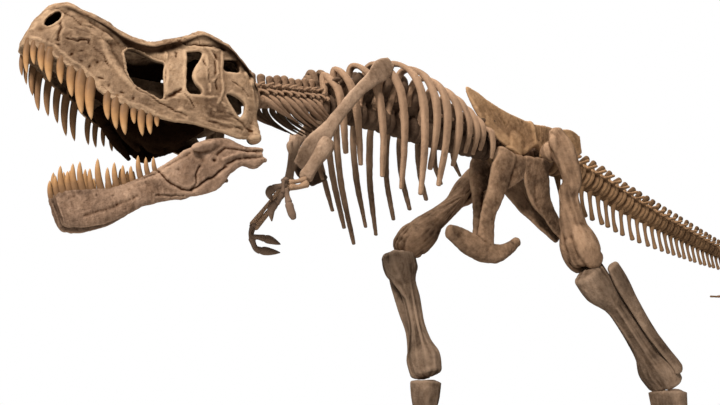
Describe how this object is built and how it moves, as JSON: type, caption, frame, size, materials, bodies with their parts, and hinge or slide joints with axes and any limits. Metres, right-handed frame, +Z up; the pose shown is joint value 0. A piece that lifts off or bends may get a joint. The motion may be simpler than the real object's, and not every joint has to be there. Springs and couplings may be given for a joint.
{
  "type": "mounted theropod dinosaur skeleton",
  "caption": "Life-size mounted skeleton of a large two-legged meat-eating dinosaur, jaws open and tail held out, standing on a plain flat base.",
  "frame": {"origin": "middle of the base's underside, on the floor below the hips", "axes": "+X towards the tail, so the skull faces -X; the animal's left side faces -Y; +Z up"},
  "size_m": [10.5929, 2.4447, 3.545],
  "materials": {
    "skull": "light tan cast bone, matt, fine cracks and pits",
    "bone": "brown cast bone, matt, darker in the hollows",
    "pale_bone": "paler cast bone, matt",
    "base": "satin dark grey paint on board"
  },
  "bodies": {
    "root": {"cranium": "skull", "mandible_left": "skull", "mandible_right": "skull", "neck": "bone", "ribcage_left": "bone", "ribcage_right": "bone", "sacrum": "bone", "pubis": "bone", "ischium_left": "bone", "ischium_right": "bone", "tail_1": "bone", "tail_2": "bone", "tail_3": "bone", "tail_4": "bone", "humerus_left": "bone", "humerus_right": "bone", "forearm_left": "bone", "forearm_right": "bone", "hand_left": "bone", "hand_right": "bone", "femur_left": "bone", "femur_right": "bone", "tibia_left": "bone", "tibia_right": "bone", "fibula_left": "bone", "fibula_right": "bone", "metatarsus_left": "bone", "metatarsus_right": "bone", "toe_2_left": "bone", "toe_3_left": "bone", "toe_4_left": "bone", "toe_2_right": "bone", "toe_3_right": "bone", "toe_4_right": "bone", "ilium_left": "pale_bone", "ilium_right": "pale_bone", "shoulder_left": "pale_bone", "shoulder_right": "pale_bone", "stand_base": "base"}
  },
  "joints": []
}
